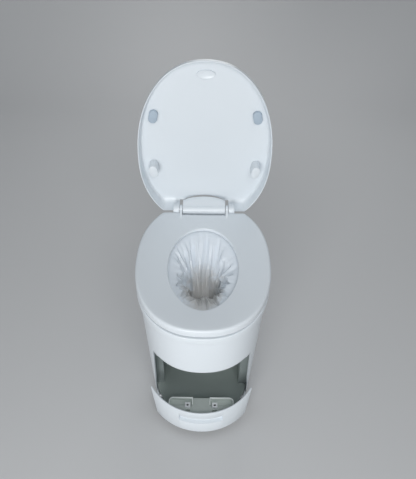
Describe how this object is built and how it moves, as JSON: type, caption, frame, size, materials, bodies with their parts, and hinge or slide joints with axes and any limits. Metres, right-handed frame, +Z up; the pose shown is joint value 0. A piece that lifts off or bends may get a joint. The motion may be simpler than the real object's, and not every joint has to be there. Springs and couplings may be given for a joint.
{
  "type": "waterless packing toilet",
  "caption": "Free-standing waterless toilet: hinged seat and lid over a film-lined bowl; a foot pedal turns pinch rollers that draw the tubular liner down into an open-fronted waste compartment",
  "frame": {"origin": "On the floor, under the middle of the bowl, at the middle of the face the feet stand on", "axes": "+Z up, -Y to the front where the pedal is, +X to the right seen from behind the origin looking along +Y"},
  "size_m": [0.377, 0.5383, 0.9652],
  "materials": {
    "white_shell": "moulded white plastic, glossy",
    "pale_part": "pale grey moulded plastic",
    "pad": "soft blue-grey pad",
    "dark_liner": "dark grey-green moulded plastic",
    "grey_green": "light grey-green moulded plastic",
    "steel": "plain steel",
    "dark_rubber": "dark rubber",
    "film": "thin glossy translucent film"
  },
  "bodies": {
    "body": {"base_plate": "dark_liner", "feet": "dark_rubber", "body_shell": "white_shell", "compartment_liner": "dark_liner", "mechanism_deck": "pale_part", "collar_frame": "white_shell", "collar_screws": "steel", "base_screws": "steel", "cassette_tray": "pale_part", "film_pack": "film", "cassette_cover": "pale_part", "liner_film": "film", "guide_funnel": "pale_part", "side_plate_left": "steel", "side_plate_right": "steel", "shaft_bushes": "grey_green", "rod_bushes": "grey_green", "spring_brackets": "steel", "frame_screws": "steel", "pivot_blocks": "grey_green", "pivot_bushes": "dark_rubber", "hinge_block": "white_shell", "hinge_bushes": "dark_rubber", "hinge_screws": "steel"},
    "seat": {"seat_ring": "white_shell", "seat_buffers": "grey_green", "hinge_pin": "steel"},
    "lid": {"lid_shell": "white_shell", "lid_upper_pads": "pad", "lid_lower_buffers": "white_shell", "lid_badge": "white_shell"},
    "pedal": {"pedal_plate": "white_shell", "pedal_carrier": "grey_green", "carrier_blocks": "white_shell", "carrier_screws": "steel", "pedal_arms": "steel", "lift_arms": "steel", "pivot_shaft": "steel"},
    "lifter": {"lift_rods": "steel", "lift_yoke": "grey_green", "drive_rack": "steel", "return_springs": "steel"},
    "rear_roller_set": {"rear_roller_shaft": "steel", "rear_roller": "dark_rubber", "drive_pinion": "steel", "one_way_clutch": "steel", "rear_roller_gear": "pale_part"},
    "front_roller_set": {"front_roller_shaft": "steel", "front_roller": "dark_rubber", "front_roller_gear": "pale_part"}
  },
  "joints": [
    {"name": "seat_lift", "type": "hinge", "parent": "body", "child": "seat", "pos_m": [0, 0.252, 0.506], "axis": [-1, 0, 0], "range_deg": [0, 40]},
    {"name": "lid_close", "type": "hinge", "parent": "seat", "child": "lid", "pos_m": [0, 0.252, 0.506], "axis": [1, 0, 0], "range_deg": [0, 92]},
    {"name": "pedal_press", "type": "hinge", "parent": "body", "child": "pedal", "pos_m": [0, -0.11, 0.024], "axis": [1, 0, 0], "range_deg": [0, 10], "stiffness_Nm_per_rad": 17},
    {"name": "rod_lift", "type": "slide", "parent": "body", "child": "lifter", "axis": [0, 0, 1], "range_m": [0, 0.0296], "deforming": ["return_springs"]},
    {"name": "rear_roller_turn", "type": "hinge", "parent": "body", "child": "rear_roller_set", "pos_m": [0, 0.035, 0.345], "axis": [1, 0, 0], "range_deg": [0, 125.4]},
    {"name": "front_roller_turn", "type": "hinge", "parent": "body", "child": "front_roller_set", "pos_m": [0, -0.001, 0.345], "axis": [1, 0, 0], "range_deg": [-125.4, 0]}
  ],
  "couplings": [
    {"joint": "rod_lift", "follows": "pedal_press", "m_per_rad": 0.169},
    {"joint": "rear_roller_turn", "follows": "pedal_press", "ratio": 12.519},
    {"joint": "front_roller_turn", "follows": "pedal_press", "ratio": -12.519}
  ]
}
